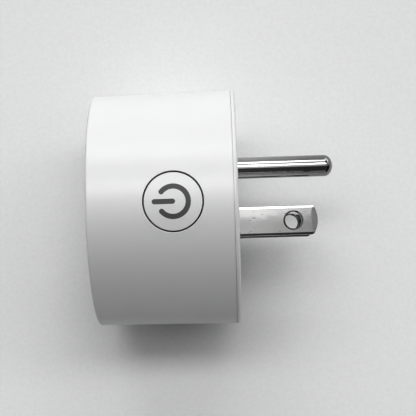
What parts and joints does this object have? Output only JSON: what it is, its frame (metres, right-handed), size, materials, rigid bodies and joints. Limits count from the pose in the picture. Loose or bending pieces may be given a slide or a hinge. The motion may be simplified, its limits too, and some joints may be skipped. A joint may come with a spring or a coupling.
{
  "type": "smart plug",
  "caption": "Round mains smart plug: flat blades and an earth pin on its wall face, an appliance outlet opposite, a flush power button on its side, and the switching parts inside.",
  "frame": {"origin": "centre of the back face, which lies against the wall outlet", "axes": "+X out of the back face along the prongs, +Y towards the earth pin, +Z out through the power button"},
  "size_m": [0.0507, 0.05, 0.05],
  "materials": {
    "white_plastic": "satin",
    "symbol_grey": "satin",
    "nickel_plate": "polished",
    "screw_steel": "zinc plated",
    "contact_brass": "satin",
    "carrier_plastic": "satin",
    "circuit_board": "solder mask",
    "tinned_steel": "satin",
    "black_resin": "matte",
    "relay_black": "satin",
    "led_body": "gloss",
    "copper_winding": "enamelled",
    "soft_iron": "satin",
    "ferrite": "matte",
    "capacitor_sleeve": "gloss",
    "varistor_blue": "gloss",
    "resistor_green": "matte"
  },
  "bodies": {
    "housing": {"housing_shell": "white_plastic", "back_cover": "white_plastic", "outlet_face": "white_plastic", "neutral_blade": "nickel_plate", "line_blade": "nickel_plate", "ground_pin": "nickel_plate", "case_screws": "screw_steel", "contact_carrier": "carrier_plastic", "line_contact": "contact_brass", "neutral_contact": "contact_brass", "ground_contact": "contact_brass", "main_board": "circuit_board", "radio_board": "circuit_board", "radio_shield": "tinned_steel", "radio_chip": "black_resin", "header_block": "black_resin", "header_pins": "contact_brass", "switch_body": "black_resin", "status_led": "led_body", "relay_case": "relay_black", "relay_base": "relay_black", "relay_bobbin": "carrier_plastic", "relay_coil": "copper_winding", "relay_core": "soft_iron", "relay_yoke": "soft_iron", "relay_fixed_contact": "contact_brass", "relay_coil_pins": "tinned_steel", "filter_capacitors": "capacitor_sleeve", "varistor": "varistor_blue", "fuse_resistor": "resistor_green", "inductor_core": "ferrite", "inductor_winding": "copper_winding", "bridge_rectifier": "black_resin", "converter_chip": "black_resin"},
    "button": {"button_cap": "white_plastic", "power_symbol": "symbol_grey"},
    "switch_plunger": {"switch_plunger": "black_resin"},
    "relay_armature": {"relay_armature": "soft_iron", "relay_spring_contact": "contact_brass"}
  },
  "joints": [
    {"name": "button_press", "type": "slide", "parent": "housing", "child": "button", "axis": [0, 0, -1], "range_m": [0, 0.0003], "stiffness_N_per_m": 1500},
    {"name": "switch_travel", "type": "slide", "parent": "housing", "child": "switch_plunger", "axis": [0, 0, -1], "range_m": [0, 0.0003]},
    {"name": "relay_tilt", "type": "hinge", "parent": "housing", "child": "relay_armature", "pos_m": [-0.0165, -0.0146, -0.0079], "axis": [0, 1, 0], "range_deg": [0, 3], "stiffness_Nm_per_rad": 0.02}
  ],
  "couplings": [
    {"joint": "switch_travel", "follows": "button_press", "ratio": 1}
  ]
}
